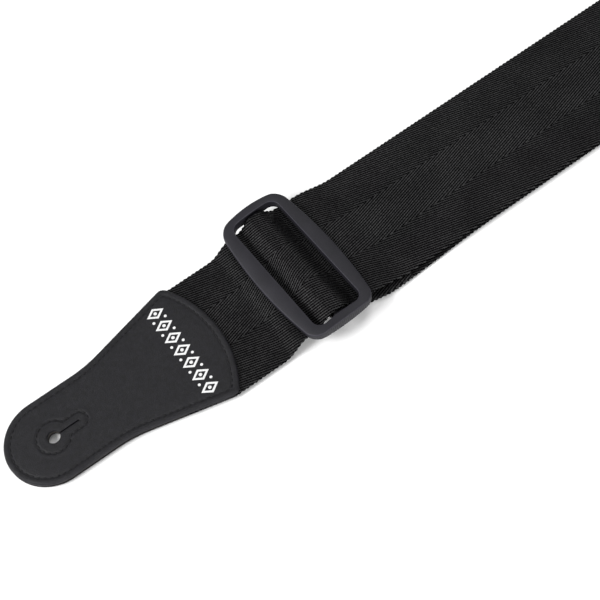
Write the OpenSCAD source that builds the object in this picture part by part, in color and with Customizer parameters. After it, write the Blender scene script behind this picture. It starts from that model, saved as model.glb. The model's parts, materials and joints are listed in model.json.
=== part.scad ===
// Adjustable guitar strap: a wide woven webbing with a sewn leather tab at each end.
// The webbing runs from the front tab through a three-bar slider, round the rear loop,
// and back to the slider's centre bar, where its end is folded over and sewn.
// Frame: origin in the front button hole at the underside, +X along the strap, +Z up.

/* [Webbing] */
// Width of the webbing
web_w = 75; // [70:1:76]
// Thickness of the webbing
web_t = 1.4; // [1.2:0.1:1.4]

/* [Leather tabs] */
// Thickness of one leather layer
leather_t = 1.5; // [1.2:0.1:1.8]
// Radius of a tab's round tip
tip_r = 24.4; // [22:0.2:25]
// How far the tip's centre lies behind the button hole
tip_back = 2.5; // [0:0.5:5]
// Where a tab starts to widen, from the button hole
widen_x = 33; // [28:1:38]
// How fast each side widens
widen_slope = 0.252; // [0.22:0.004:0.256]
// End of a tab's curved wide edge on the middle line
tab_end_x = 101.5; // [100:0.5:103]
// How far the wide edge bows out between its corners
tab_end_bow = 12; // [8:1:14]
// Diameter of a button hole
hole_d = 7; // [6:0.1:8]
// End of the slit beside a button hole
slit_end_x = 15.4; // [12:0.2:17]
// Width of the slit
slit_w = 0.5; // [0.3:0.1:0.8]
// Distance from a tab's edge to its stitching
stitch_inset = 3.2; // [2:0.1:4]
// Width of a stitch line
stitch_w = 0.8; // [0.6:0.1:1]
// Height of a stitch line above the leather
stitch_h = 0.3; // [0.2:0.1:0.5]

/* [Slider] */
// Centre of the slider along the strap
slider_x = 153.4; // [150:0.2:160]
// Sideways offset of the slider
slider_y = 1.1; // [0:0.1:1.2]
// How far the slider sits askew on the webbing
slider_skew = 2.0; // [0:0.1:2]
// Length of the slider across the strap, at its corners
slider_l = 85.6; // [85.4:0.1:88]
// Width of the slider along the strap, at its corners
slider_wide = 39.4; // [39:0.2:42]
// Length of the window
window_l = 78.6; // [78.6:0.1:79]
// Width of the window along the strap
window_w = 28.9; // [28.6:0.1:29.4]
// How far the webbing holds the slider's underside off the ground
slider_lift = 8.2; // [8:0.1:8.4]
// Height of the arched top at the slider's middle
slider_top = 15.0; // [14.9:0.1:15.6]
// Fall of the arched top from the middle to the outer edges
slider_arch = 3.0; // [2.6:0.1:3.2]
// Radius of the centre bar's round sides
bar_r = 1.8; // [1.7:0.05:1.8]
// Flat length between the centre bar's round sides
bar_flat = 4; // [3:0.5:4]

/* [Rear loop] */
// Centre of the loop's front bar along the strap
loop_x = 790; // [780:1:800]
// Distance between the loop's two bars
loop_pitch = 19; // [18:0.5:20]
// Radius of the loop's round bars
loop_bar_r = 2.5; // [2.3:0.05:2.5]
// Running clearance between a loop bar and the webbing round it
loop_gap = 0.08; // [0.05:0.01:0.1]
// Position of the rear button hole
rear_x = 950; // [948:1:960]

/* [Hidden] */
$fn = 64;

half_w = web_w / 2;
hole_r = hole_d / 2;

// Levels of the layers inside a tab
core_z = leather_t;
core_t = web_t;
top_leather_z = core_z + core_t;
tab_t = top_leather_z + leather_t;

// Tab outline: widening ease, corner ease and arc steps
widen_ease = 9;
corner_ease = 3.5;
core_inset = 0.6;
core_joint_x = 62;
tip_steps = 28;
end_steps = 20;
ease_steps = 12;

// Keyhole stitching round the button hole and the slit
key_r = 9.6;
key_lobe_w = 4.9;
key_lobe_x = 20.3;

// Fabric joints on the way from the front tab to the slider
flex_start_x = 103;
flex_end_x = 113;
lead_end_x = 120;

// Webbing levels at the slider and the reach of each webbing shape there
run_z = 3.0;
pass_gap = 0.2;
pass_z = slider_lift - web_t - pass_gap;
bar_gap = 0.05;
wrap_r = bar_r + bar_gap;
bar_z = slider_lift + bar_r;
bar_flat_half = bar_flat / 2;
arch_rise_x = -13.5;
arch_fall_x = 11.7;
arch_x0 = -14;
settle_x0 = 25;
settle_x1 = 46;
arch_x1 = 48;
arch_z = bar_z + wrap_r + web_t + bar_gap;
skew_room = 7;
wrap_flat_x = 13;
wrap_fold_end = 46;
wrap_end = 50;
wrap_seam_x = 16;
wrap_seam_len = 26;
slider_corner_r = 6.3;
window_corner_r = 5.2;
slider_side_bow = 3.6;
slider_end_bow = 1.5;

// Rear loop and the webbing that turns round its bars
loop_wrap_r = loop_bar_r + loop_gap;
loop_z = web_t + loop_wrap_r;
loop_rail_r = 3.4;
loop_rail_y = 39.2;
loop_rail_t = 4;
turn_drop = 25;
stub_drop = 12;
stub_top_drop = 16;
stub_fold_end = 26;
stub_x = loop_x + loop_pitch;
stub_end_x = rear_x - flex_end_x;
stub_seam_x = 17.5;
stub_seam_len = 7;

// Eases from 0 to 1 between t = 0 and t = 1
function smooth(t) = let (u = min(1, max(0, t))) u * u * (3 - 2 * u);

// Rises from a flat line to a slope of 1 around t = 0
function soft_hinge(t, e) = t < -e ? 0 : t > e ? t : (t + e) * (t + e) / (4 * e);

// Half width of a tab at x, drawn in by d
function tab_half(x, d) =
    tip_r + widen_slope * soft_hinge(x - widen_x, widen_ease) - d * sqrt(1 + widen_slope * widen_slope);

corner_half = tab_half(tab_end_x - tab_end_bow, 0);
end_r = (corner_half * corner_half + tab_end_bow * tab_end_bow) / (2 * tab_end_bow);
end_cx = tab_end_x - end_r;

// Angle on the wide edge's arc where the widening side meets it
function corner_angle(d) =
    let (
        m = widen_slope,
        b = tab_half(widen_x + widen_ease, d) - m * (widen_x + widen_ease - end_cx),
        r = end_r - d,
        qa = 1 + m * m,
        x = (-m * b + sqrt(m * m * b * b - qa * (b * b - r * r))) / qa
    ) atan2(m * x + b, x);

function arc_point(d, a) = [end_cx + (end_r - d) * cos(a), (end_r - d) * sin(a)];
function bezier(a, b, c, t) = (1 - t) * (1 - t) * a + 2 * t * (1 - t) * b + t * t * c;
function flip_y(points) = [for (i = [len(points) - 1:-1:0]) [points[i][0], -points[i][1]]];

// One side of a tab, from its tip to the middle of its wide edge, drawn in by d
function tab_side(d) =
    let (
        r = tip_r - d,
        ca = corner_angle(d),
        corner = arc_point(d, ca),
        before = [corner[0] - corner_ease, tab_half(corner[0] - corner_ease, d)],
        da = asin(corner_ease / end_r),
        after = arc_point(d, ca - da)
    ) concat(
        [for (i = [0:tip_steps]) [-tip_back - r * cos(90 * i / tip_steps), r * sin(90 * i / tip_steps)]],
        [for (i = [1:12]) let (x = widen_x + widen_ease * (i - 6) / 6) [x, tab_half(x, d)]],
        [for (i = [0:6]) bezier(before, corner, after, i / 6)],
        [for (i = [1:end_steps - 1]) arc_point(d, (ca - da) * (1 - i / end_steps))]
    );

function tab_outline(d) =
    let (side = tab_side(d))
    concat(side, [[tab_end_x - d, 0]], flip_y([for (i = [1:len(side) - 1]) side[i]]));

// Closed outline of the keyhole stitching, drawn in by d
function keyhole_outline(d) =
    let (
        r = key_r - d,
        w = key_lobe_w - d,
        a0 = asin(w / r),
        lobe_cx = key_lobe_x - key_lobe_w
    ) concat(
        [for (i = [0:40]) let (a = a0 + (360 - 2 * a0) * i / 40) [r * cos(a), r * sin(a)]],
        [for (i = [0:12]) let (a = -90 + 180 * i / 12) [lobe_cx + w * cos(a), w * sin(a)]]
    );

module button_hole(z, t) {
    translate([0, 0, z - 1]) cylinder(r = hole_r, h = t + 2);
    translate([0, -slit_w / 2, z - 1]) cube([slit_end_x, slit_w, t + 2]);
}

module leather_layer(z) {
    difference() {
        translate([0, 0, z]) linear_extrude(leather_t) polygon(tab_outline(0));
        button_hole(z, leather_t);
    }
}

module tab_stiffener() {
    difference() {
        translate([0, 0, core_z]) linear_extrude(core_t) intersection() {
            polygon(tab_outline(core_inset));
            translate([-tip_r - tip_back - 1, -half_w])
                square([tip_r + tip_back + 1 + core_joint_x, web_w]);
        }
        button_hole(core_z, core_t);
    }
}

// Webbing inside a tab, trimmed to the tab's taper until it reaches its full width
module tab_webbing_end() {
    start_half = tab_half(core_joint_x, core_inset);
    full_x = core_joint_x + (half_w - start_half) / widen_slope;
    side = [[core_joint_x, start_half], [full_x, half_w], [flex_start_x, half_w]];
    translate([0, 0, core_z]) linear_extrude(core_t) polygon(concat(side, flip_y(side)));
}

module tab_edge_stitching() {
    translate([0, 0, tab_t]) linear_extrude(stitch_h) difference() {
        polygon(tab_outline(stitch_inset));
        polygon(tab_outline(stitch_inset + stitch_w));
    }
}

module tab_keyhole_stitching() {
    translate([0, 0, tab_t]) linear_extrude(stitch_h) difference() {
        polygon(keyhole_outline(0));
        polygon(keyhole_outline(stitch_w));
    }
}

module to_rear() {
    translate([rear_x, 0, 0]) mirror([1, 0, 0]) children();
}

// Extrudes a profile drawn in X and Z across the strap
module across(width) {
    translate([0, width / 2, 0]) rotate([90, 0, 0]) linear_extrude(width) children();
}

// Points along an underside that goes from height za at xa to height zb at xb
function eased(xa, xb, za, zb) =
    [for (i = [0:ease_steps]) let (t = i / ease_steps) [xa + (xb - xa) * t, za + (zb - za) * smooth(t)]];

// A layer of webbing on top of a line of points
module layer_on(line) {
    polygon(concat(line, [for (i = [len(line) - 1:-1:0]) line[i] + [0, web_t]]));
}

module eased_strip(xa, xb, za, zb) {
    layer_on(eased(xa, xb, za, zb));
}

module strip(xa, xb, z) {
    translate([xa, z]) square([xb - xa, web_t]);
}

// Half of a ring of webbing round a bar whose centre is at height z, on the -X side
module half_ring(r, z) {
    difference() {
        translate([0, z]) circle(r = r + web_t);
        translate([0, z]) circle(r = r);
        translate([0, z - r - web_t - 1]) square([r + web_t + 1, 2 * (r + web_t + 1)]);
    }
}

module on_slider() {
    translate([slider_x, slider_y, 0]) rotate([0, 0, slider_skew]) children();
}

// Keeps what lies inside the straight webbing, between two distances from the slider's centre
module in_webbing(xa, xb) {
    intersection() {
        children();
        translate([slider_x + xa, -half_w, -1]) cube([xb - xa, web_w, slider_top + 2]);
    }
}

module front_top_leather() {
    color("#2b2a2f") leather_layer(top_leather_z);
}

module front_backing_leather() {
    color("#26262a") leather_layer(0);
}

module front_stiffener() {
    color("#4a4742") tab_stiffener();
}

module front_webbing_end() {
    color("#2d2d2f") tab_webbing_end();
}

module front_edge_stitching() {
    color("#101012") tab_edge_stitching();
}

module front_keyhole_stitching() {
    color("#101012") tab_keyhole_stitching();
}

module front_flex() {
    color("#2d2d2f") across(web_w) strip(flex_start_x, flex_end_x, core_z);
}

module front_lead() {
    color("#2d2d2f") across(web_w) strip(flex_end_x, lead_end_x, core_z);
}

module tail_run() {
    ramp_end = slider_x - slider_wide / 2 - 1;
    color("#2d2d2f") across(web_w)
        layer_on(concat(eased(lead_end_x, ramp_end, core_z, pass_z), [[slider_x + arch_x0, pass_z]]));
}

// Plan of the slider: a rounded rectangle whose four sides bow outwards
function slider_plan() =
    let (hx = slider_wide / 2, hy = slider_l / 2, r = slider_corner_r, n = 8)
    [for (q = [0:3], i = [0:2 * n - 1])
        let (
            sx = q == 0 || q == 3 ? 1 : -1,
            sy = q < 2 ? 1 : -1,
            a = 90 * q + 90 * i / n,
            side = q % 2 == 0 ? [-2 * sx * (hx - r), 0] : [0, -2 * sy * (hy - r)],
            p = i <= n
                ? [sx * (hx - r) + r * cos(a), sy * (hy - r) + r * sin(a)]
                : [sx * (hx - r) + r * cos(90 * (q + 1)), sy * (hy - r) + r * sin(90 * (q + 1))]
                    + side * (i - n) / n,
            bow_x = slider_side_bow * (1 - pow(p[1] / hy, 2)) * p[0] / hx,
            bow_y = slider_end_bow * (1 - pow(p[0] / hx, 2)) * p[1] / hy
        ) [p[0] + bow_x, p[1] + bow_y]
    ];

// The slider seen from its end: arched above, flat below
module slider_profile() {
    hx = slider_wide / 2;
    r = (hx * hx + slider_arch * slider_arch) / (2 * slider_arch);
    intersection() {
        translate([0, slider_top - r]) circle(r = r, $fn = 360);
        translate([-slider_wide, slider_lift]) square([2 * slider_wide, slider_top]);
    }
}

module window_plan() {
    hx = window_w / 2 - window_corner_r;
    hy = window_l / 2 - window_corner_r;
    union() {
        square([2 * hx, window_l], center = true);
        square([window_w, 2 * hy], center = true);
        for (sx = [-1, 1], sy = [-1, 1]) translate([sx * hx, sy * hy]) circle(r = window_corner_r);
    }
}

module centre_bar_profile() {
    union() {
        translate([-bar_flat_half, bar_z]) circle(r = bar_r);
        translate([bar_flat_half, bar_z]) circle(r = bar_r);
        translate([-bar_flat_half, bar_z - bar_r]) square([bar_flat, 2 * bar_r]);
    }
}

module slider() {
    color("#3c3b42") on_slider() union() {
        difference() {
            intersection() {
                translate([0, 0, -1]) linear_extrude(slider_top + 2) polygon(slider_plan());
                across(slider_l + 6) slider_profile();
            }
            translate([0, 0, -2]) linear_extrude(slider_top + 4) window_plan();
        }
        across(window_l + 1) centre_bar_profile();
    }
}

// Webbing that rises out of the window's first slot, over the centre bar and down the second
module over_bar() {
    rise = eased(arch_rise_x, -bar_flat_half, pass_z, arch_z);
    fall = eased(bar_flat_half, arch_fall_x, arch_z, pass_z);
    settle = eased(settle_x0, settle_x1, pass_z, run_z);
    line = concat([[arch_x0 - skew_room, pass_z]], rise, fall, settle, [[arch_x1 + skew_room, run_z]]);
    color("#2d2d2f") in_webbing(arch_x0, arch_x1) on_slider() across(web_w + 2 * skew_room)
        layer_on(line);
}

// Sewn end of the webbing, folded round the centre bar
module bar_wrap() {
    color("#29292b") in_webbing(arch_x0, wrap_end) on_slider() across(web_w + 2 * skew_room)
        union() {
            translate([-bar_flat_half, 0]) half_ring(wrap_r, bar_z);
            eased_strip(-bar_flat_half, wrap_flat_x, bar_z - wrap_r - web_t, 0);
            strip(wrap_flat_x, wrap_end + skew_room, 0);
            strip(-bar_flat_half, bar_flat_half, bar_z + wrap_r);
            eased_strip(bar_flat_half, wrap_flat_x, bar_z + wrap_r, web_t);
            strip(wrap_flat_x, wrap_fold_end, web_t);
        }
}

module seam_box(x, length, z, h) {
    outer_w = web_w - 10;
    translate([x, 0, z]) linear_extrude(h) difference() {
        translate([0, -outer_w / 2]) square([length, outer_w]);
        translate([stitch_w, stitch_w - outer_w / 2]) square([length - 2 * stitch_w, outer_w - 2 * stitch_w]);
    }
}

module bar_wrap_stitching() {
    seam_h = run_z - 2 * web_t - 0.05;
    color("#101012") seam_box(slider_x + wrap_seam_x, wrap_seam_len, 2 * web_t, seam_h);
}

module top_run() {
    color("#2d2d2f") across(web_w) strip(slider_x + arch_x1, loop_x - turn_drop, run_z);
}

module bottom_run() {
    color("#29292b") across(web_w) strip(slider_x + wrap_end, loop_x - turn_drop, 0);
}

// Webbing turning back round the loop's front bar
module loop_turn() {
    color("#2d2d2f") translate([loop_x, 0, 0]) across(web_w) union() {
        mirror([1, 0]) half_ring(loop_wrap_r, loop_z);
        strip(-turn_drop, 0, 0);
        eased_strip(-turn_drop, 0, run_z, loop_z + loop_wrap_r);
    }
}

module loop_bar(x) {
    translate([x, loop_rail_y + 0.5, loop_z]) rotate([90, 0, 0])
        cylinder(r = loop_bar_r, h = 2 * loop_rail_y + 1);
}

module loop_rail() {
    rotate([90, 0, 0]) linear_extrude(loop_rail_t) union() {
        translate([0, loop_z]) circle(r = loop_rail_r);
        translate([loop_pitch, loop_z]) circle(r = loop_rail_r);
        translate([0, loop_z - loop_rail_r]) square([loop_pitch, 2 * loop_rail_r]);
    }
}

module rear_loop() {
    color("#3c3b42") union() {
        loop_bar(loop_x);
        loop_bar(loop_x + loop_pitch);
        translate([loop_x, loop_rail_y + loop_rail_t, 0]) loop_rail();
        translate([loop_x, -loop_rail_y, 0]) loop_rail();
    }
}

// Short webbing stub, folded round the loop's rear bar and sewn to itself
module stub_wrap() {
    color("#2d2d2f") translate([stub_x, 0, 0]) across(web_w) union() {
        half_ring(loop_wrap_r, loop_z);
        eased_strip(0, stub_drop, 0, core_z);
        strip(stub_drop, stub_end_x - stub_x, core_z);
        eased_strip(0, stub_top_drop, loop_z + loop_wrap_r, core_z + web_t);
        strip(stub_top_drop, stub_fold_end, core_z + web_t);
    }
}

module stub_stitching() {
    color("#101012") seam_box(stub_x + stub_seam_x, stub_seam_len, core_z + 2 * web_t, stitch_h);
}

module rear_flex() {
    color("#2d2d2f") across(web_w) strip(stub_end_x, rear_x - flex_start_x, core_z);
}

module rear_webbing_end() {
    color("#2d2d2f") to_rear() tab_webbing_end();
}

module rear_top_leather() {
    color("#2b2a2f") to_rear() leather_layer(top_leather_z);
}

module rear_backing_leather() {
    color("#26262a") to_rear() leather_layer(0);
}

module rear_stiffener() {
    color("#4a4742") to_rear() tab_stiffener();
}

module rear_edge_stitching() {
    color("#101012") to_rear() tab_edge_stitching();
}

module rear_keyhole_stitching() {
    color("#101012") to_rear() tab_keyhole_stitching();
}

front_top_leather();
front_backing_leather();
front_stiffener();
front_webbing_end();
front_edge_stitching();
front_keyhole_stitching();
front_flex();
front_lead();
tail_run();
slider();
over_bar();
bar_wrap();
bar_wrap_stitching();
top_run();
bottom_run();
loop_turn();
rear_loop();
stub_wrap();
stub_stitching();
rear_flex();
rear_webbing_end();
rear_top_leather();
rear_backing_leather();
rear_stiffener();
rear_edge_stitching();
rear_keyhole_stitching();
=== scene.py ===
import json
import math

import bpy
import numpy as np
from mathutils import Matrix, Vector, noise
from mathutils.geometry import delaunay_2d_cdt


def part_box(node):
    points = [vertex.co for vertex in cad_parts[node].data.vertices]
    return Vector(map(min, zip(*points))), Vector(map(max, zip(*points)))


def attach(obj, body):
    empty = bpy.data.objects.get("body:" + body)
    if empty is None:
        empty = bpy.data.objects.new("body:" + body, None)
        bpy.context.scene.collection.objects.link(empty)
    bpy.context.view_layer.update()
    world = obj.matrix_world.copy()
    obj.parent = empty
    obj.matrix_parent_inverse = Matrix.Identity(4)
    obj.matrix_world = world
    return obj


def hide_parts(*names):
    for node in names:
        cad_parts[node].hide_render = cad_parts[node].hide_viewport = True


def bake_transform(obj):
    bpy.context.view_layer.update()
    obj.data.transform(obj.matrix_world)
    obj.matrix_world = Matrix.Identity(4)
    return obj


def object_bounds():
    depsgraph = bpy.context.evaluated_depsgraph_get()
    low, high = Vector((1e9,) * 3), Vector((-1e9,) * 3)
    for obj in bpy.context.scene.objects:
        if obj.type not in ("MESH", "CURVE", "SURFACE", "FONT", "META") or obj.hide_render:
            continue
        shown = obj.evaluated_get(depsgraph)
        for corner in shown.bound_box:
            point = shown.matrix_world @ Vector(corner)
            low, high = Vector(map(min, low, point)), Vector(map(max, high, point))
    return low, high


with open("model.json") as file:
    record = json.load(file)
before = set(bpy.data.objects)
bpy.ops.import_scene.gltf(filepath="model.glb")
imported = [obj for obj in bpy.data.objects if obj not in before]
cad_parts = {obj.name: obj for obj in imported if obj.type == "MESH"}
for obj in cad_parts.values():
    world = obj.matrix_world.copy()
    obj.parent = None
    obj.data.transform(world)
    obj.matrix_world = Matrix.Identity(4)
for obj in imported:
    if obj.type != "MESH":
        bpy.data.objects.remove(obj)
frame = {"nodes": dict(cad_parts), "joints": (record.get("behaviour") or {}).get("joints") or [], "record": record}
cad_low, cad_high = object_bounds()

# Shapes are worked out in millimetres, and new_mesh() turns them into metres.
MM = 0.001


def box_mm(node):
    """Lowest and highest corner of a CAD node, in millimetres."""
    low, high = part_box(node)
    return np.array(low) / MM, np.array(high) / MM


def joint_mm(name):
    """The point of a joint's axis, in millimetres."""
    joint = next(j for j in frame["joints"] if j["name"] == name)
    return np.array(joint["pos_m"]) / MM


# Webbing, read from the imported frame
run_low, run_high = box_mm("top_run")
bottom_low = box_mm("bottom_run")[0]
web_half = run_high[1]
web_t = run_high[2] - run_low[2]
run_z = run_low[2]
flex_low, flex_high = box_mm("front_flex")
lead_high = box_mm("front_lead")[1]
core_z = flex_low[2]

# Weave: a herringbone of three panels in a 2/2 twill
panel_half = 12.5
warp_pitch = 0.347
twill_repeat = 4.845
weft_pitch = twill_repeat / 4
selvedge_pitch = 2.6
selvedge_depth = 0.42
# The webbing is sewn a little off the tab's middle, the slider pushes it the other way, and the
# sewn end bows out behind the slider
tab_sway = -1.2
web_shift = 1.2
wrap_sway = -2.2

# Leather tab, read from the frame where it shows there
mounts = {m["name"]: m for m in frame["record"]["mounts"]}
hole_r = mounts["front_button_hole"]["dims"]["r_mm"]
rear_x = mounts["rear_button_hole"]["pos_m"][0] / MM
tab_low, tab_high = box_mm("front_top_leather")
backing_high = box_mm("front_backing_leather")[1]
tab_end_x = tab_high[0]
tip_r = 24.4
tip_back = -tab_low[0] - tip_r
widen_x = 33.0
widen_slope = 0.252
widen_ease = 9.0
tab_end_bow = 12.0
corner_ease = 3.5
slit_end_x = 15.4
slit_half = 0.25
core_inset = 0.6
core_joint_x = 62.0
stitch_inset = 3.6
stitch_pitch = 3.4
stitch_len = 2.3
thread_r = 0.36
key_r = 9.2
key_lobe_w = 4.5
key_lobe_x = 19.9

# Slider, centred on its CAD node
slider_low, slider_high = box_mm("slider")
slider_x, slider_y = (slider_low[:2] + slider_high[:2]) / 2
slider_skew = math.radians(2.0)
slider_hx = 19.7
slider_hy = 42.8
window_hx = 14.45
window_hy = 39.3
slider_corner_r = 6.3
window_corner_r = 5.2
slider_side_bow = 3.6
slider_end_bow = 1.5
slider_top = slider_high[2]
slider_lift = slider_low[2]
slider_arch = 3.0
rib_pitch = 1.15
rib_depth = 0.12
bar_r = 1.8
bar_flat_half = 2.0
wrap_r = bar_r + 0.05
bar_z = slider_lift + bar_r
pass_z = box_mm("tail_run")[1][2] - web_t
arch_rise_x = -13.5
arch_fall_x = 11.7
settle_start = 25.0
settle_end = 46.0
arch_z = box_mm("over_bar")[1][2] - web_t
wrap_flat_x = 13.0
wrap_fold_end = 46.0

# Rear loop
loop_x, _, loop_z = joint_mm("loop_swivel")
stub_x = joint_mm("stub_swivel")[0]
loop_wrap_r = loop_z - web_t
turn_low = box_mm("loop_turn")[0]
stub_high = box_mm("stub_wrap")[1]
stub_drop = 12.0
stub_top_drop = 16.0
stub_fold_len = 26.0


# ---------------------------------------------------------------- materials


class Graph:
    """A material's node tree, with short calls for its nodes."""

    def __init__(self, name):
        self.material = bpy.data.materials.new(name)
        self.material.use_nodes = True
        self.tree = self.material.node_tree
        self.shader = self.tree.nodes["Principled BSDF"]

    def node(self, kind, **settings):
        made = self.tree.nodes.new(kind)
        for key, value in settings.items():
            setattr(made, key, value)
        return made

    def put(self, socket, value):
        if isinstance(value, bpy.types.NodeSocket):
            self.tree.links.new(value, socket)
        else:
            socket.default_value = value

    def math(self, operation, *values):
        made = self.node("ShaderNodeMath", operation=operation)
        for socket, value in zip(made.inputs, values):
            self.put(socket, value)
        return made.outputs[0]

    def ramp(self, value, low, high, to_low=0.0, to_high=1.0):
        made = self.node("ShaderNodeMapRange", interpolation_type="SMOOTHSTEP")
        for socket, v in zip(made.inputs, (value, low, high, to_low, to_high)):
            self.put(socket, v)
        return made.outputs[0]

    def mix(self, factor, a, b):
        made = self.node("ShaderNodeMix", data_type="RGBA")
        self.put(made.inputs[0], factor)
        self.put(made.inputs[6], a)
        self.put(made.inputs[7], b)
        return made.outputs[2]

    def place(self):
        return self.node("ShaderNodeTexCoord").outputs["Object"]

    def noise(self, where, scale, detail=2.0, roughness=0.5):
        made = self.node("ShaderNodeTexNoise")
        self.put(made.inputs["Vector"], where)
        self.put(made.inputs["Scale"], scale)
        self.put(made.inputs["Detail"], detail)
        self.put(made.inputs["Roughness"], roughness)
        return made.outputs["Fac"]

    def attribute(self, name):
        return self.node("ShaderNodeAttribute", attribute_name=name).outputs["Fac"]

    def bump(self, height, distance, strength=1.0):
        made = self.node("ShaderNodeBump")
        self.put(made.inputs["Strength"], strength)
        self.put(made.inputs["Distance"], distance)
        self.put(made.inputs["Height"], height)
        self.put(self.shader.inputs["Normal"], made.outputs["Normal"])

    def surface(self, colour, roughness, specular=0.5, **uniform):
        self.put(self.shader.inputs["Base Color"], colour)
        self.put(self.shader.inputs["Roughness"], roughness)
        self.put(self.shader.inputs["Specular IOR Level"], specular)
        for name, value in uniform.items():
            self.put(self.shader.inputs[name.replace("_", " ")], value)
        return self.material


def weave_material(name, follows_fold):
    """Black polyester webbing. A folded piece takes its length from its own path."""
    g = Graph(name)
    where = g.place()
    split = g.node("ShaderNodeSeparateXYZ")
    g.put(split.inputs[0], where)
    along = g.attribute("weave_x") if follows_fold else g.math("DIVIDE", split.outputs[0], MM)
    across = g.math("DIVIDE", split.outputs[1], MM)
    outer = g.math("GREATER_THAN", g.math("ABSOLUTE", across), panel_half)
    hand = g.math("MULTIPLY_ADD", outer, -2.0, 1.0)
    thread = g.math("DIVIDE", across, warp_pitch)
    index = g.math("FLOOR", g.math("ADD", thread, 0.5))
    side = g.math("SUBTRACT", thread, index)
    step = g.math("MULTIPLY", g.math("MULTIPLY", index, hand), 0.25)
    phase = g.math("SUBTRACT", g.math("DIVIDE", along, twill_repeat), step)
    wave = g.math("SINE", g.math("MULTIPLY", phase, math.tau))
    up = g.ramp(wave, -0.6, 0.7)
    crown = g.math("COSINE", g.math("MULTIPLY", side, math.pi))
    weft = g.math("COSINE", g.math("MULTIPLY", along, math.tau / weft_pitch))
    low = g.math("MULTIPLY", g.math("SUBTRACT", 1.0, up), g.math("MULTIPLY_ADD", weft, 0.18, 0.18))
    high = g.math("MULTIPLY", up, g.math("MULTIPLY_ADD", crown, 0.45, 0.55))
    fuzz = g.noise(where, 2600.0, 3.0)
    height = g.math("ADD", g.math("ADD", high, low), g.math("MULTIPLY", fuzz, 0.25))
    g.bump(height, 0.16 * MM)
    patch = g.noise(where, 45.0, 3.0)
    picks = g.math("MULTIPLY_ADD", weft, 0.22, 0.78)
    strand = g.noise(where, 900.0, 2.0)
    uneven = g.math("MULTIPLY", g.ramp(patch, 0.3, 0.7, 0.75, 1.0), g.ramp(strand, 0.3, 0.7, 0.55, 1.15))
    # Painted light and shade: the floats are lighter on their crowns and where the weft lifts them, and the gaps
    # between them are darker, painted shade.
    lit = g.math("MULTIPLY", g.math("MULTIPLY", high, picks), uneven)
    # The centre panel is painted lighter, a painted sheen.
    inner = g.math("SUBTRACT", 1.0, outer)
    bright = g.math("MULTIPLY", lit, g.math("MULTIPLY_ADD", inner, 0.3, 0.85))
    colour = g.mix(bright, (0.0006, 0.0006, 0.0008, 1), (0.040, 0.0395, 0.0405, 1))
    rough = g.ramp(high, 0.0, 1.0, 0.8, 0.36)
    # The threads run along X, so their highlight spreads along Y
    spread = g.node("ShaderNodeCombineXYZ")
    spread.inputs[1].default_value = 1.0
    g.put(g.shader.inputs["Tangent"], spread.outputs[0])
    shine = g.math("MULTIPLY", lit, 0.3)
    return g.surface(colour, rough, shine, Anisotropic=0.7)


def leather_material(name, dark, light, grain, rough_low, rough_high):
    """Fine-grained leather with a painted highlight along its edges and painted shade in its grain's grooves."""
    g = Graph(name)
    where = g.place()
    cells = g.node("ShaderNodeTexVoronoi", feature="DISTANCE_TO_EDGE")
    g.put(cells.inputs["Vector"], where)
    g.put(cells.inputs["Scale"], grain)
    pebble = g.ramp(cells.outputs["Distance"], 0.0, 0.22)
    pores = g.noise(where, 5200.0, 3.0)
    creases = g.noise(where, 420.0, 4.0, 0.6)
    height = g.math("ADD", g.math("MULTIPLY", pebble, 0.6), g.math("MULTIPLY", pores, 0.4))
    g.bump(g.math("ADD", height, g.math("MULTIPLY", creases, 1.4)), 0.11 * MM)
    # The mesh's painted highlight lightens the edges and the hole's rim.
    painted_highlight = g.attribute("painted_highlight")
    mottle = g.ramp(creases, 0.3, 0.7)
    mottle_and_highlight = g.math("ADD", g.math("MULTIPLY", mottle, 0.55), g.math("MULTIPLY", painted_highlight, 0.35))
    # Darker in the grooves between the grain's pebbles: painted shade.
    colour = g.mix(g.math("MULTIPLY", mottle_and_highlight, g.ramp(pebble, 0.0, 1.0, 0.6, 1.0)), dark, light)
    rough = g.ramp(g.noise(where, 160.0, 3.0), 0.3, 0.7, rough_low, rough_high)
    return g.surface(colour, rough, 0.3)


def plastic_material(name):
    """Moulded nylon with a faint pebble and edges painted lighter as a painted highlight."""
    g = Graph(name)
    where = g.place()
    grain = g.noise(where, 3200.0, 3.0)
    flow = g.noise(where, 90.0, 3.0)
    g.bump(g.math("ADD", grain, g.math("MULTIPLY", flow, 0.6)), 0.03 * MM)
    # The mesh's painted highlight lightens the slider's rounded edges.
    painted_highlight = g.attribute("painted_highlight")
    mottle_and_highlight = g.math("ADD", g.math("MULTIPLY", flow, 0.35), g.math("MULTIPLY", painted_highlight, 0.65))
    colour = g.mix(mottle_and_highlight, (0.0055, 0.0053, 0.0075, 1), (0.034, 0.032, 0.043, 1))
    return g.surface(colour, g.ramp(grain, 0.3, 0.7, 0.48, 0.6), 0.25)


def thread_material(name):
    """Twisted bonded thread."""
    g = Graph(name)
    where = g.place()
    twist = g.node("ShaderNodeTexWave", wave_type="BANDS", bands_direction="DIAGONAL")
    g.put(twist.inputs["Vector"], where)
    g.put(twist.inputs["Scale"], 900.0)
    g.bump(twist.outputs["Fac"], 0.05 * MM)
    # Lighter on the twist's ridges and darker between them: painted light and shade.
    colour = g.mix(twist.outputs["Fac"], (0.0015, 0.0015, 0.002, 1), (0.008, 0.008, 0.009, 1))
    return g.surface(colour, g.ramp(twist.outputs["Fac"], 0.0, 1.0, 0.7, 0.5), 0.25)


def board_material(name):
    """Grey-brown fibre board of the stiffener."""
    g = Graph(name)
    fibres = g.noise(g.place(), 900.0, 5.0, 0.7)
    g.bump(fibres, 0.08 * MM)
    colour = g.mix(fibres, (0.030, 0.027, 0.023, 1), (0.085, 0.078, 0.068, 1))
    return g.surface(colour, g.ramp(fibres, 0.3, 0.7, 0.8, 0.95), 0.3)


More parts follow.
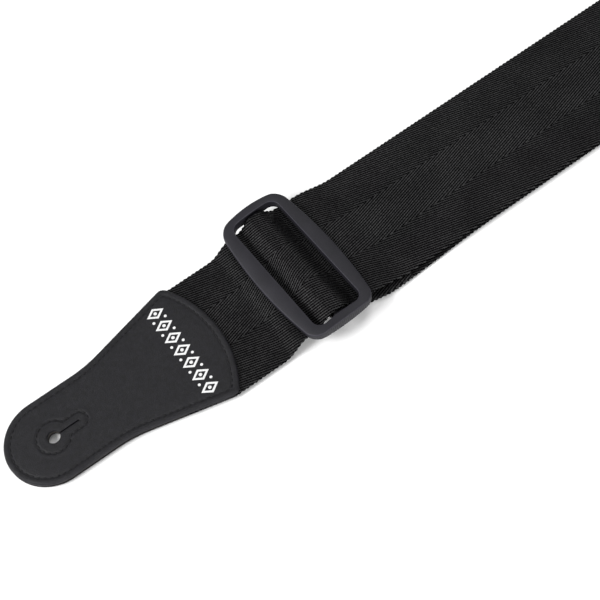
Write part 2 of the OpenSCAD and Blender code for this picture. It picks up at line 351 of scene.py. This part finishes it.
def print_material(name):
    """White print that takes up the leather's grain."""
    g = Graph(name)
    where = g.place()
    grain = g.noise(where, 1500.0, 4.0, 0.6)
    g.bump(grain, 0.04 * MM)
    colour = g.mix(g.ramp(grain, 0.3, 0.7), (0.52, 0.52, 0.52, 1), (0.74, 0.74, 0.74, 1))
    return g.surface(colour, g.ramp(grain, 0.3, 0.7, 0.6, 0.5), 0.4)


weave_flat = weave_material("weave_flat", False)
weave_fold = weave_material("weave_fold", True)
top_leather = leather_material(
    "top_leather", (0.0018, 0.0017, 0.0026, 1), (0.0095, 0.009, 0.0135, 1), 1400.0, 0.48, 0.62)
back_leather = leather_material(
    "back_leather", (0.012, 0.011, 0.012, 1), (0.040, 0.038, 0.039, 1), 900.0, 0.72, 0.9)
plastic = plastic_material("plastic")
thread = thread_material("thread")
board = board_material("board")
white_print = print_material("white_print")


# ---------------------------------------------------------------- mesh helpers


def new_mesh(name, points, faces, material, angle=38, attributes=None):
    """A smooth mesh from points in millimetres, with float attributes per point."""
    mesh = bpy.data.meshes.new(name)
    mesh.from_pydata((np.asarray(points, float) * MM).tolist(), [], faces)
    mesh.update()
    mesh.shade_smooth()
    mesh.set_sharp_from_angle(angle=math.radians(angle))
    for key, values in (attributes or {}).items():
        made = mesh.attributes.new(key, "FLOAT", "POINT")
        made.data.foreach_set("value", np.asarray(values, np.float32))
    mesh.materials.append(material)
    made = bpy.data.objects.new(name, mesh)
    bpy.context.scene.collection.objects.link(made)
    return made


def smooth(t):
    u = np.clip(t, 0, 1)
    return u * u * (3 - 2 * u)


def bell(x, width):
    return np.exp(-((x / width) ** 2))


def resample(points, spacing, closed=True):
    """Points at an even spacing along a polyline."""
    points = np.asarray(points, float)
    if closed:
        points = np.vstack([points, points[:1]])
    length = np.r_[0, np.cumsum(np.linalg.norm(np.diff(points, axis=0), axis=1))]
    count = max(3, int(round(length[-1] / spacing)))
    at = np.linspace(0, length[-1], count + 1)
    made = np.column_stack([np.interp(at, length, points[:, k]) for k in range(points.shape[1])])
    return made[:-1] if closed else made


def distance_to(line, points):
    """Distance from each point to a closed polyline."""
    a, b = line, np.roll(line, -1, axis=0)
    d = b - a
    best = np.full(len(points), np.inf)
    for start, way in zip(a, d):
        t = np.clip((points - start) @ way / max(way @ way, 1e-12), 0, 1)
        best = np.minimum(best, np.linalg.norm(points - start - t[:, None] * way, axis=1))
    return best


def inside(line, points):
    """True for each point that lies inside a closed polyline."""
    x, y = points[:, 0], points[:, 1]
    odd = np.zeros(len(points), bool)
    for (xa, ya), (xb, yb) in zip(line, np.roll(line, -1, axis=0)):
        if ya == yb:
            continue
        crosses = (ya > y) != (yb > y)
        odd ^= crosses & (x < (xb - xa) * (y - ya) / (yb - ya) + xa)
    return odd


def grid_faces(rows, columns, close_columns=True):
    """Quads of a grid of points, row by row, whose columns close into a ring."""
    last = columns if close_columns else columns - 1
    return [
        (r * columns + c, r * columns + (c + 1) % columns,
         (r + 1) * columns + (c + 1) % columns, (r + 1) * columns + c)
        for r in range(rows - 1) for c in range(last)
    ]


# ---------------------------------------------------------------- webbing


def web_section():
    """Closed section of the webbing: place across, height and nearness to the edge."""
    edge_r = web_t / 2
    flat = web_half - edge_r
    across = np.r_[np.linspace(-flat, -panel_half - 1.5, 16),
                   np.linspace(-panel_half - 1, -panel_half + 1, 7),
                   np.linspace(-panel_half + 1.5, panel_half - 1.5, 14),
                   np.linspace(panel_half - 1, panel_half + 1, 7),
                   np.linspace(panel_half + 1.5, flat, 16)]
    furrow = 0.07 * bell(np.abs(across) - panel_half, 0.55)
    cord = 0.16 * bell(np.abs(across) - (web_half - 1.2), 0.8)
    pinch = 0.12 * bell(np.abs(across) - (web_half - 2.9), 0.5)
    top = edge_r - 0.1 - furrow + cord - pinch
    turn = np.linspace(math.pi / 2, -math.pi / 2, 9)[1:-1]
    right_y, right_z = flat + edge_r * np.cos(turn), (edge_r - 0.1) * np.sin(turn)
    y = np.r_[across, right_y, across[::-1], -right_y]
    z = np.r_[top, right_z, -top[::-1], -right_z]
    return y, z, smooth((np.abs(y) - web_half + 2.2) / 2.2)


def upper_sway(x):
    """Sideways offset of the upper webbing from the front tab to behind the slider."""
    start, pushed = flex_high[0] + 3, slider_x + arch_rise_x + 2
    free = slider_x + arch_fall_x
    across = tab_sway + (web_shift - tab_sway) * smooth((x - start) / (pushed - start))
    return across * (1 - smooth((x - free) / (run_low[0] - free)))


def lower_sway(x):
    """Sideways offset of the lower layer in and behind the slider."""
    free, crest, end = slider_x + 9, slider_x + 34, slider_x + 100
    let_go = smooth((x - free) / (crest - free))
    return web_shift * (1 - let_go) + wrap_sway * let_go * (1 - smooth((x - crest) / (end - crest)))


def ribbon(name, path, follows_fold=False, half=None, lean=None, spacing=0.65, weave_from=None,
           sway=None):
    """A piece of webbing along a path of (x, z) points on its middle layer."""
    path = resample(path, spacing, closed=False)
    way = np.gradient(path, axis=0)
    way /= np.linalg.norm(way, axis=1)[:, None]
    normal = np.column_stack([-way[:, 1], way[:, 0]])
    length = np.r_[0, np.cumsum(np.linalg.norm(np.diff(path, axis=0), axis=1))]
    weave_x = path[:, 0] if weave_from is None else weave_from(length)
    y, z, edge = web_section()
    halves = np.full(len(path), web_half) if half is None else half(path[:, 0])
    scallop = selvedge_depth * (0.5 + 0.5 * np.cos(math.tau * weave_x / selvedge_pitch))
    rows = []
    for k, (x0, z0) in enumerate(path):
        wide = y - np.sign(y) * ((web_half - halves[k]) + edge * scallop[k])
        tall = z * (1 - 0.28 * edge * scallop[k] / selvedge_depth)
        shift = 0 if lean is None else lean(x0, z0) * math.tan(slider_skew) * (slider_y - wide)
        aside = wide + (0 if sway is None else sway(x0))
        rows.append(np.column_stack([x0 + tall * normal[k, 0] + shift, aside, z0 + tall * normal[k, 1]]))
    count = len(y)
    faces = grid_faces(len(rows), count)
    faces += [tuple(range(count))[::-1], tuple(range((len(rows) - 1) * count, len(rows) * count))]
    flip = way[0, 0] > 0
    faces = [f[::-1] for f in faces] if flip else faces
    made = new_mesh(name, np.vstack(rows), faces, weave_fold if follows_fold else weave_flat,
                    attributes={"weave_x": np.repeat(weave_x, count)})
    return made


def eased(xa, xb, za, zb, steps=24):
    t = np.linspace(0, 1, steps)
    return np.column_stack([xa + (xb - xa) * t, za + (zb - za) * smooth(t)])


def arc(x, z, r, start, end, steps=28):
    a = np.radians(np.linspace(start, end, steps))
    return np.column_stack([x + r * np.cos(a), z + r * np.sin(a)])


def middle(z):
    return z + web_t / 2


def tab_half_at(x, inset):
    t = np.asarray(x, float) - widen_x
    eased_in = np.where(t < -widen_ease, 0, np.where(
        t > widen_ease, t, (t + widen_ease) ** 2 / (4 * widen_ease)))
    return tip_r + widen_slope * eased_in - inset * math.sqrt(1 + widen_slope ** 2)


def core_half(x):
    return np.minimum(web_half, tab_half_at(x, core_inset))


def tab_webbing(name, body, rear):
    line = np.array([[core_joint_x, middle(core_z)], [flex_low[0], middle(core_z)]])
    if rear:
        line[:, 0] = rear_x - line[::-1, 0]
    half = (lambda x: core_half(rear_x - x)) if rear else core_half
    made = ribbon(name + "_web", line, half=half, sway=None if rear else upper_sway)
    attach(made, body)
    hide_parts(name)


def straight(name, xa, xb, z, sway=None):
    return ribbon(name + "_web", [[xa, middle(z)], [xb, middle(z)]], sway=sway)


def make_webbing():
    tab_webbing("front_webbing_end", "front_tab", False)
    tab_webbing("rear_webbing_end", "rear_tab", True)

    flex = straight("front_flex", flex_low[0], flex_high[0], core_z, upper_sway)
    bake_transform(flex)
    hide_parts("front_flex")
    lead = straight("front_lead", flex_high[0], lead_high[0], core_z, upper_sway)
    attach(lead, "webbing")
    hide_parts("front_lead")

    tail_low, tail_high = box_mm("tail_run")
    ramp_end = slider_x - slider_hx - 1
    tail = ribbon("tail_run_web", np.vstack([
        eased(tail_low[0], ramp_end, middle(core_z), middle(pass_z)),
        [[tail_high[0], middle(pass_z)]]]),
                  sway=upper_sway)
    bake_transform(tail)
    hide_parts("tail_run")

    make_over_bar(tail_high[0])
    make_bar_wrap()

    for node, z, sway in (("top_run", run_z, None), ("bottom_run", 0.0, lower_sway)):
        low, high = box_mm(node)
        run = straight(node, low[0], high[0], z, sway)
        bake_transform(run)
        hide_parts(node)

    make_loop_turn()
    make_stub()


def make_over_bar(start_x):
    """The part that rises from the window's first slot and goes over the centre bar."""
    low, high = middle(pass_z), middle(arch_z)
    line = np.vstack([
        [[start_x, low]],
        eased(slider_x + arch_rise_x, slider_x - bar_flat_half, low, high),
        eased(slider_x + bar_flat_half, slider_x + arch_fall_x, high, low),
        eased(slider_x + settle_start, slider_x + settle_end, low, middle(run_z)),
        [[run_low[0], middle(run_z)]]])

    def lean(x, z):
        reach = 0.5 - arch_rise_x if x < slider_x else run_low[0] - slider_x
        return 1 - smooth(abs(x - slider_x) / reach)

    total = np.linalg.norm(np.diff(resample(line, 0.3, closed=False), axis=0), axis=1).sum()
    made = ribbon("over_bar_web", line, True, lean=lean, spacing=0.4,
                  weave_from=lambda s: start_x + (run_low[0] - start_x) * s / total, sway=upper_sway)
    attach(made, "slider_unit")
    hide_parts("over_bar")


def make_bar_wrap():
    """The sewn end, from its fold's free end over and round the centre bar to the lower run."""
    end_x = bottom_low[0]
    ring_r = wrap_r + web_t / 2
    line = np.vstack([
        [[slider_x + wrap_fold_end, middle(web_t)]],
        eased(slider_x + wrap_flat_x, slider_x + bar_flat_half, middle(web_t), bar_z + ring_r),
        arc(slider_x - bar_flat_half, bar_z, ring_r, 90, 270),
        eased(slider_x - bar_flat_half, slider_x + wrap_flat_x, bar_z - ring_r, middle(0))[1:],
        [[end_x, middle(0)]]])
    total = np.linalg.norm(np.diff(resample(line, 0.3, closed=False), axis=0), axis=1).sum()

    def lean(x, z):
        return 1 - smooth((x - slider_x - 14) / (end_x - slider_x - 15))

    made = ribbon("bar_wrap_web", line, True, lean=lean, spacing=0.5,
                  weave_from=lambda s: end_x - (total - s), sway=lower_sway)
    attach(made, "slider_unit")
    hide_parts("bar_wrap")


def make_loop_turn():
    ring_r = loop_wrap_r + web_t / 2
    line = np.vstack([
        [[turn_low[0], middle(0)]],
        arc(loop_x, loop_z, ring_r, -90, 90),
        eased(loop_x, turn_low[0], loop_z + ring_r, middle(run_z))[1:]])
    total = np.linalg.norm(np.diff(resample(line, 0.3, closed=False), axis=0), axis=1).sum()
    made = ribbon("loop_turn_web", line, True, spacing=0.5,
                  weave_from=lambda s: turn_low[0] + np.minimum(s, total - s))
    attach(made, "turn")
    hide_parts("loop_turn")


def make_stub():
    ring_r = loop_wrap_r + web_t / 2
    end_x = stub_high[0]
    line = np.vstack([
        [[stub_x + stub_fold_len, middle(core_z + web_t)]],
        eased(stub_x + stub_top_drop, stub_x, middle(core_z + web_t), loop_z + ring_r),
        arc(stub_x, loop_z, ring_r, 90, 270)[1:],
        eased(stub_x, stub_x + stub_drop, middle(0), middle(core_z))[1:],
        [[end_x, middle(core_z)]]])
    total = np.linalg.norm(np.diff(resample(line, 0.3, closed=False), axis=0), axis=1).sum()
    made = ribbon("stub_wrap_web", line, True, spacing=0.5,
                  weave_from=lambda s: end_x - (total - s))
    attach(made, "stub")
    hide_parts("stub_wrap")

    low, high = box_mm("rear_flex")
    flex = straight("rear_flex", low[0], high[0], core_z)
    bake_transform(flex)
    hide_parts("rear_flex")


# ---------------------------------------------------------------- leather tabs


def tab_outline(inset):
    """Closed outline of a tab, drawn in by inset."""
    corner_half = tab_half_at(tab_end_x - tab_end_bow, 0)
    end_r = (corner_half ** 2 + tab_end_bow ** 2) / (2 * tab_end_bow)
    centre = tab_end_x - end_r
    m, r = widen_slope, end_r - inset
    b = tab_half_at(widen_x + widen_ease, inset) - m * (widen_x + widen_ease - centre)
    qa = 1 + m * m
    x = (-m * b + math.sqrt(m * m * b * b - qa * (b * b - r * r))) / qa
    corner_a = math.atan2(m * x + b, x)
    ease_a = math.asin(corner_ease / end_r)

    def on_end(a):
        return np.array([centre + r * math.cos(a), r * math.sin(a)])

    corner = on_end(corner_a)
    before = np.array([corner[0] - corner_ease, tab_half_at(corner[0] - corner_ease, inset)])
    after = on_end(corner_a - ease_a)
    tip = [(-tip_back - (tip_r - inset) * math.cos(a), (tip_r - inset) * math.sin(a))
           for a in np.linspace(0, math.pi / 2, 40)]
    side = [(x, tab_half_at(x, inset)) for x in np.linspace(widen_x - widen_ease, before[0], 40)]
    bend = [(1 - t) ** 2 * before + 2 * t * (1 - t) * corner + t * t * after
            for t in np.linspace(0.1, 0.9, 9)]
    end = [on_end(a) for a in np.linspace(corner_a - ease_a, 0, 40)]
    half = np.array(tip + side + bend + end)
    return np.vstack([half, (half * [1, -1])[-2:0:-1]])


def keyhole_line(grow):
    """Closed line of the keyhole stitching, grown by grow."""
    r, w = key_r + grow, key_lobe_w + grow
    a0 = math.asin(min(w / r, 0.95))
    lobe = key_lobe_x - key_lobe_w
    ring = [(r * math.cos(a), r * math.sin(a)) for a in np.linspace(a0, math.tau - a0, 60)]
    cap = [(lobe + w * math.cos(a), w * math.sin(a))
           for a in np.linspace(-math.pi / 2, math.pi / 2, 14)]
    return np.array(ring + cap)


def hole_line(grow):
    """Closed line of the button hole and its slit, grown by grow."""
    r, w = hole_r + grow, slit_half + grow
    a0 = math.asin(w / r)
    ring = [(r * math.cos(a), r * math.sin(a)) for a in np.linspace(a0, math.tau - a0, 48)]
    cap = [(slit_end_x - slit_half + w * math.cos(a), w * math.sin(a))
           for a in np.linspace(-math.pi / 2, math.pi / 2, 7)]
    return np.array(ring + cap)


def rounded(distance, r):
    """Drop of a rounded edge at a distance inside it."""
    return r - np.sqrt(np.maximum(r * r - np.maximum(r - distance, 0) ** 2, 0))


def leather_relief(points, amount):
    """Height of a tab's face above its flat level, and how much painted highlight each point gets."""
    edge = distance_to(tab_outline(0), points)
    key = distance_to(keyhole_line(0), points)
    hole = distance_to(hole_line(0), points)
    soft = -rounded(edge, 1.1) - rounded(hole, 0.45)
    rim = 0.14 * bell(edge - 1.9, 0.9) - 0.36 * bell(edge - stitch_inset, 0.6)
    crown = 0.16 * smooth((edge - 4.2) / 6)
    ridge = 0.16 * bell(key - 1.5, 0.8) - 0.30 * bell(key, 0.55) + 0.10 * bell(hole - 1.4, 0.9)
    lumps = np.array([noise.noise(Vector((x / 13, y / 13, 0.0))) for x, y in points])
    # Lighter near the outline and round the hole: a painted edge highlight.
    painted_highlight = np.maximum(bell(edge, 0.9), 0.6 * bell(hole, 0.5))
    return soft + amount * (rim + crown + ridge + 0.06 * lumps), painted_highlight


def tab_points():
    """Points on a tab's face, closest together where its shape changes fast."""
    edge_rings = (0.1, 0.3, 0.6, 1.0, 1.5, 2.1, 2.7, 3.1, 3.35, 3.6, 3.85, 4.1, 4.5, 5.2, 6.2)
    key_rings = (-1.6, -0.9, -0.5, -0.25, 0, 0.25, 0.5, 0.9, 1.5, 2.2)
    hole_rings = (0.1, 0.25, 0.45, 0.9, 1.5)
    sets = [resample(tab_outline(d), 1.2) for d in edge_rings]
    sets += [resample(keyhole_line(d), 0.9) for d in key_rings]
    sets += [resample(hole_line(d), 0.7) for d in hole_rings]
    xs, ys = np.meshgrid(np.arange(-24, 102, 1.5), np.arange(-39, 39.1, 1.5))
    fill = np.column_stack([xs.ravel(), ys.ravel()])
    outline, key, hole = tab_outline(0), keyhole_line(0), hole_line(0)
    clear = inside(outline, fill) & (distance_to(outline, fill) > 7)
    clear &= (distance_to(key, fill) > 2.9) & (distance_to(hole, fill) > 2.2)
    return sets + [fill[clear]]


def tab_faces():
    """The tab's face as points and triangles, its two border rings first."""
    rim, hole = resample(tab_outline(0), 1.0), resample(hole_line(0), 0.5)
    outside, opening = tab_outline(0), hole_line(0)
    loose = np.vstack(tab_points())
    keep = inside(outside, loose) & ~inside(opening, loose)
    keep &= (distance_to(outside, loose) > 0.06) & (distance_to(opening, loose) > 0.06)
    points = np.vstack([rim, hole, loose[keep]])
    borders = [(k, (k + 1) % len(rim)) for k in range(len(rim))]
    borders += [(len(rim) + k, len(rim) + (k + 1) % len(hole)) for k in range(len(hole))]
    made = delaunay_2d_cdt([Vector(p) for p in points], borders, [], 0, 1e-5)
    found = np.array([tuple(v) for v in made[0]])
    triangles = np.array([f for f in made[2] if len(f) == 3])
    centre = found[triangles].mean(axis=1)
    good = inside(rim, centre) & ~inside(hole, centre)
    return found, triangles[good]


def border_loops(triangles):
    """Directed edges that only one triangle has."""
    edges = {}
    for a, b, c in triangles:
        for e in ((a, b), (b, c), (c, a)):
            edges[e] = True
    return [e for e in edges if (e[1], e[0]) not in edges]


def leather(name, body, rear, inner_z, outer_z, amount, material):
    """One leather layer, its face at outer_z and its flat side at inner_z."""
    points, triangles = TAB_FACE
    relief, painted_highlight = leather_relief(points, amount)
    sign = 1 if outer_z > inner_z else -1
    face = np.column_stack([points, outer_z + sign * relief])
    flat = np.column_stack([points, np.full(len(points), inner_z)])
    count = len(points)
    faces = [tuple(t) for t in triangles] + [tuple(t[::-1] + count) for t in triangles]
    faces += [(b, a, a + count, b + count) for a, b in border_loops(triangles)]
    every = np.vstack([face, flat])
    if rear:
        every[:, 0] = rear_x - every[:, 0]
    if (sign < 0) != rear:
        faces = [f[::-1] for f in faces]
    # The face carries the painted edge highlight; the flat side gets an even 0.4 of it.
    made = new_mesh(name + "_hide", every, [tuple(int(i) for i in f) for f in faces], material,
                    angle=50, attributes={"painted_highlight": np.r_[painted_highlight, painted_highlight * 0 + 0.4]})
    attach(made, body)
    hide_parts(name)
    return made


def stitches(name, lines, body, height, sign=1, rear=False, pitch=stitch_pitch):
    """A row of single stitches along each closed line, each dipping into its surface."""
    points, faces = [], []
    rings, sides = 9, 8
    for line in lines:
        line = resample(line, 0.2)
        step = len(line) / max(1, round(len(line) * 0.2 / pitch))
        for start in np.arange(0, len(line) - step / 2, step):
            index = (start + np.linspace(0, stitch_len / 0.2, rings)).astype(int) % len(line)
            spine = line[index]
            way = np.gradient(spine, axis=0)
            way /= np.linalg.norm(way, axis=1)[:, None]
            out = np.column_stack([-way[:, 1], way[:, 0]])
            t = np.linspace(-1, 1, rings)
            rise = height(spine) + sign * thread_r * (0.45 - 1.5 * t ** 6)
            base = len(points)
            for k in range(rings):
                r = thread_r * (1 - 0.35 * t[k] ** 4)
                for a in np.arange(sides) * math.tau / sides:
                    side = out[k] * r * math.cos(a)
                    points.append((spine[k, 0] + side[0], spine[k, 1] + side[1],
                                   rise[k] + r * math.sin(a)))
            faces += [tuple(base + i for i in f) for f in grid_faces(rings, sides)]
            faces.append(tuple(base + i for i in range(sides))[::-1])
            faces.append(tuple(base + (rings - 1) * sides + i for i in range(sides)))
    points = np.array(points)
    if rear:
        points[:, 0] = rear_x - points[:, 0]
    made = new_mesh(name, points, faces if rear else [f[::-1] for f in faces], thread)
    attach(made, body)
    return made


def make_tab(side, body, rear):
    top_low, top_high = box_mm(side + "_top_leather")
    leather(side + "_top_leather", body, rear, top_low[2], top_high[2], 1.0,
            top_leather)
    leather(side + "_backing_leather", body, rear, backing_high[2], 0.0, 0.5,
            back_leather)
    lines = (("edge_stitching", tab_outline(stitch_inset)), ("keyhole_stitching", keyhole_line(0)))
    for part, line in lines:
        upper = stitches(f"{side}_{part}_thread", [line], body,
                         lambda p: top_high[2] + leather_relief(p, 1.0)[0], rear=rear)
        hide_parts(f"{side}_{part}")
        stitches(f"{side}_{part}_under", [line], body,
                 lambda p: -leather_relief(p, 0.5)[0], sign=-1, rear=rear)
    stiffener = frame["nodes"][side + "_stiffener"]
    stiffener.data.materials.clear()
    stiffener.data.materials.append(board)


def rectangle(x, length, inset=5.0):
    half = web_half - inset
    return np.array([(x, -half), (x + length, -half), (x + length, half), (x, half)])


def make_seams():
    for node, body in (("bar_wrap_stitching", "slider_unit"), ("stub_stitching", "stub")):
        low, high = box_mm(node)
        line = rectangle(low[0] + 0.4, high[0] - low[0] - 0.8)
        seam = stitches(node + "_thread", [line], body,
                        lambda p: np.full(len(p), low[2] - 0.2), pitch=2.6)
        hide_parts(node)


def make_ornament():
    """A plain row of lozenges and dots across the front tab, where such tabs are printed."""
    top = tab_high[2]
    row_x, first, last, count = 79.0, 27.0, -27.0, 7
    centres = np.linspace(first, last, count)
    points, faces = [], []

    def add(outer, inner):
        base = len(points)
        for ring in (outer, inner):
            points.extend(ring.tolist())
        n = len(outer)
        faces.extend((base + k, base + (k + 1) % n, base + n + (k + 1) % n, base + n + k)
                     for k in range(n))

    corners = np.array([(0, 1), (1, 0), (0, -1), (-1, 0)], float)
    lozenge = np.array([corners[k] + (corners[(k + 1) % 4] - corners[k]) * t
                        for k in range(4) for t in np.linspace(0, 1, 6)[:-1]])
    circle = np.array([(math.cos(a), math.sin(a)) for a in np.arange(20) * math.tau / 20])
    for y in centres:
        add(lozenge * (5.2, 3.5) + (row_x, y), lozenge * (3.3, 2.1) + (row_x, y))
        add(circle * 0.95 + (row_x, y), circle * 0.02 + (row_x, y))
    for y in (centres[1:] + centres[:-1]) / 2:
        for x in (row_x - 3.6, row_x + 3.6):
            add(circle * 0.8 + (x, y), circle * 0.02 + (x, y))
    flat = np.array(points)
    height = top + leather_relief(flat, 1.0)[0] + 0.05
    made = new_mesh("front_ornament", np.column_stack([flat, height]),
                    [f[::-1] for f in faces], white_print)
    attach(made, "front_tab")
    return made


# ---------------------------------------------------------------- slider and rear loop


def rounded_rectangle(hx, hy, r, side_bow, end_bow, end_steps, side_steps, corner_steps):
    """Closed plan of a rounded rectangle with bowed sides, and its outward directions."""
    points, out = [], []
    for q in range(4):
        sx = 1 if q in (0, 3) else -1
        sy = 1 if q < 2 else -1
        steps = end_steps if q % 2 == 0 else side_steps
        way = np.array([-sx, 0.0]) if q % 2 == 0 else np.array([0.0, -sy])
        run = 2 * (hx - r) if q % 2 == 0 else 2 * (hy - r)
        for i in range(corner_steps):
            a = math.radians(90 * (q + i / corner_steps))
            d = np.array([math.cos(a), math.sin(a)])
            points.append(np.array([sx * (hx - r), sy * (hy - r)]) + r * d)
            out.append(d)
        a = math.radians(90 * (q + 1))
        d = np.array([math.cos(a), math.sin(a)])
        for i in range(steps):
            points.append(np.array([sx * (hx - r), sy * (hy - r)]) + r * d + way * run * i / steps)
            out.append(d)
    points, out = np.array(points), np.array(out)
    bow = np.column_stack([side_bow * (1 - (points[:, 1] / hy) ** 2) * points[:, 0] / hx,
                           end_bow * (1 - (points[:, 0] / hx) ** 2) * points[:, 1] / hy])
    return points + bow, out


def make_slider():
    """The three-bar slider: an arched frame with ribbed end walls, and its centre bar."""
    steps = (150, 60, 12)
    outer, way = rounded_rectangle(
        slider_hx, slider_hy, slider_corner_r, slider_side_bow, slider_end_bow, *steps)
    inner, _ = rounded_rectangle(window_hx, window_hy, window_corner_r, 0, 0, *steps)
    ribbed = smooth((np.abs(way[:, 1]) - 0.9) / 0.1)
    rib = ribbed * rib_depth * (0.5 - 0.5 * np.cos(math.tau * outer[:, 0] / rib_pitch))
    soft = 0.75
    turn = np.radians([90, 67, 45, 22, 0])
    rows, painted_highlight = [], []
    for k in range(len(outer)):
        span = inner[k] - outer[k]
        wide = np.linalg.norm(span)
        to_inner = span / wide

        def heights(p):
            return slider_top - slider_arch * (p[0] / slider_hx) ** 2, slider_lift

        ring = []
        for corner, (at, top) in enumerate(((0, 1), (1, 1), (1, 0), (0, 0))):
            edge = soft if top else soft * 0.6
            for a in turn if corner in (1, 3) else turn[::-1]:
                side = edge * (1 - math.cos(a))
                drop = edge * (1 - math.sin(a))
                reach = side if at == 0 else wide - side
                p = outer[k] + to_inner * reach
                high, low = heights(p)
                z = high - drop if top else low + drop
                if at == 0:
                    p = p - way[k] * rib[k]
                ring.append((p[0], p[1], z))
                # The rounded edges are painted lighter, most at their middle and less underneath: a painted
                # highlight.
                painted_highlight.append(bell(a - math.radians(45), 0.35) * (1.0 if top else 0.4))
        rows.append(ring)
    count = len(rows[0])
    points = np.array(rows).reshape(-1, 3)
    n = len(rows)
    faces = [(r * count + c, r * count + (c + 1) % count,
              ((r + 1) % n) * count + (c + 1) % count, ((r + 1) % n) * count + c)
             for r in range(n) for c in range(count)]
    bar_points, bar_faces = centre_bar(len(points))
    points = np.vstack([points, bar_points])
    painted_highlight += [0.0] * len(bar_points)
    c, s = math.cos(slider_skew), math.sin(slider_skew)
    world = np.column_stack([slider_x + points[:, 0] * c - points[:, 1] * s,
                             slider_y + points[:, 0] * s + points[:, 1] * c, points[:, 2]])
    made = new_mesh("slider_frame", world, faces + bar_faces, plastic, angle=40,
                    attributes={"painted_highlight": painted_highlight})
    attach(made, "slider_unit")
    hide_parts("slider")
    return made


def centre_bar(base):
    """Points and faces of the slider's middle bar."""
    right = np.radians(np.linspace(-90, 90, 13))
    profile = [(bar_flat_half + bar_r * math.cos(a), bar_z + bar_r * math.sin(a)) for a in right]
    profile += [(-x, 2 * bar_z - z) for x, z in profile]
    reach = window_hy + 0.5
    points = np.array([(x, y, z) for y in (-reach, reach) for x, z in profile])
    n = len(profile)
    faces = [tuple(base + i for i in f) for f in grid_faces(2, n)]
    faces += [tuple(base + i for i in range(n))[::-1], tuple(base + n + i for i in range(n))]
    return points, [f[::-1] for f in faces]


def finish_loop():
    """The rear loop keeps its CAD shape, with its edges broken and the slider's plastic."""
    loop = frame["nodes"]["rear_loop"]
    loop.data.materials.clear()
    loop.data.materials.append(plastic)
    weld = loop.modifiers.new("weld", "WELD")
    weld.merge_threshold = 0.005 * MM
    bevel = loop.modifiers.new("bevel", "BEVEL")
    bevel.width = 0.6 * MM
    bevel.segments = 3
    bevel.limit_method = "ANGLE"
    bevel.angle_limit = math.radians(50)


# ---------------------------------------------------------------- floor, lights, camera


def make_floor():
    g = Graph("floor_paper")
    speck = g.noise(g.place(), 60.0, 3.0)
    colour = g.mix(speck, (0.90, 0.90, 0.90, 1), (0.93, 0.93, 0.93, 1))
    paper = g.surface(colour, 0.9, 0.1)
    size = 6000.0
    centre = (cad_low + cad_high) / 2 / MM
    corners = [(centre.x + sx * size, centre.y + sy * size, -0.5)
               for sx, sy in ((-1, -1), (1, -1), (1, 1), (-1, 1))]
    new_mesh("floor", corners, [(0, 1, 2, 3)], paper)


def area_light(name, at, aim, size, power):
    lamp = bpy.data.lights.new(name, "AREA")
    lamp.shape = "RECTANGLE"
    lamp.size, lamp.size_y = size
    lamp.energy = power
    made = bpy.data.objects.new(name, lamp)
    made.location = at
    made.rotation_mode = "QUATERNION"
    made.rotation_quaternion = (Vector(aim) - Vector(at)).to_track_quat("-Z", "Y")
    bpy.context.scene.collection.objects.link(made)


def make_light():
    """A white world, a soft key from the tab's end, a weak light behind and a fill in front."""
    aim = (0.15, 0, 0)
    world = bpy.data.worlds.new("studio")
    bpy.context.scene.world = world
    world.use_nodes = True
    background = world.node_tree.nodes["Background"]
    background.inputs["Color"].default_value = (1.0, 1.0, 1.0, 1)
    background.inputs["Strength"].default_value = 0.5
    bpy.context.scene.view_settings.view_transform = "Standard"
    area_light("key", (-1.9, 0.3, 1.6), aim, (1.2, 1.2), 75.0)
    area_light("back_right", (1.25, 0.75, 1.9), aim, (1.0, 1.0), 14.0)
    area_light("front_fill", (0.3, -2.2, 0.8), aim, (1.6, 0.7), 36.0)


def make_camera():
    """The camera looks at the slider's side of the front tab, from above and the -Y side."""
    target = np.array([145.04, -12.32, 0.0]) * MM
    distance = 706.55 * MM
    toward = np.array([-0.1749, -0.4520, 0.8747])
    toward /= np.linalg.norm(toward)
    roll = math.radians(34.208)
    flat = np.array([1.0, 0, 0]) - toward * toward[0]
    flat /= np.linalg.norm(flat)
    rise = np.cross(toward, flat)
    right = math.cos(roll) * flat - math.sin(roll) * rise
    up = math.sin(roll) * flat + math.cos(roll) * rise
    place = target + toward * distance
    camera = bpy.data.cameras.new("camera")
    camera.sensor_width = 36.0
    camera.lens = 80.38
    camera.clip_start, camera.clip_end = 0.01, 50.0
    made = bpy.data.objects.new("camera", camera)
    made.matrix_world = Matrix([
        (right[0], up[0], toward[0], place[0]),
        (right[1], up[1], toward[1], place[1]),
        (right[2], up[2], toward[2], place[2]),
        (0, 0, 0, 1)])
    bpy.context.scene.collection.objects.link(made)
    bpy.context.scene.camera = made


make_camera()
make_light()
make_floor()
TAB_FACE = tab_faces()
make_webbing()
make_tab("front", "front_tab", False)
make_tab("rear", "rear_tab", True)
make_seams()
make_ornament()
make_slider()
finish_loop()

bpy.context.view_layer.update()
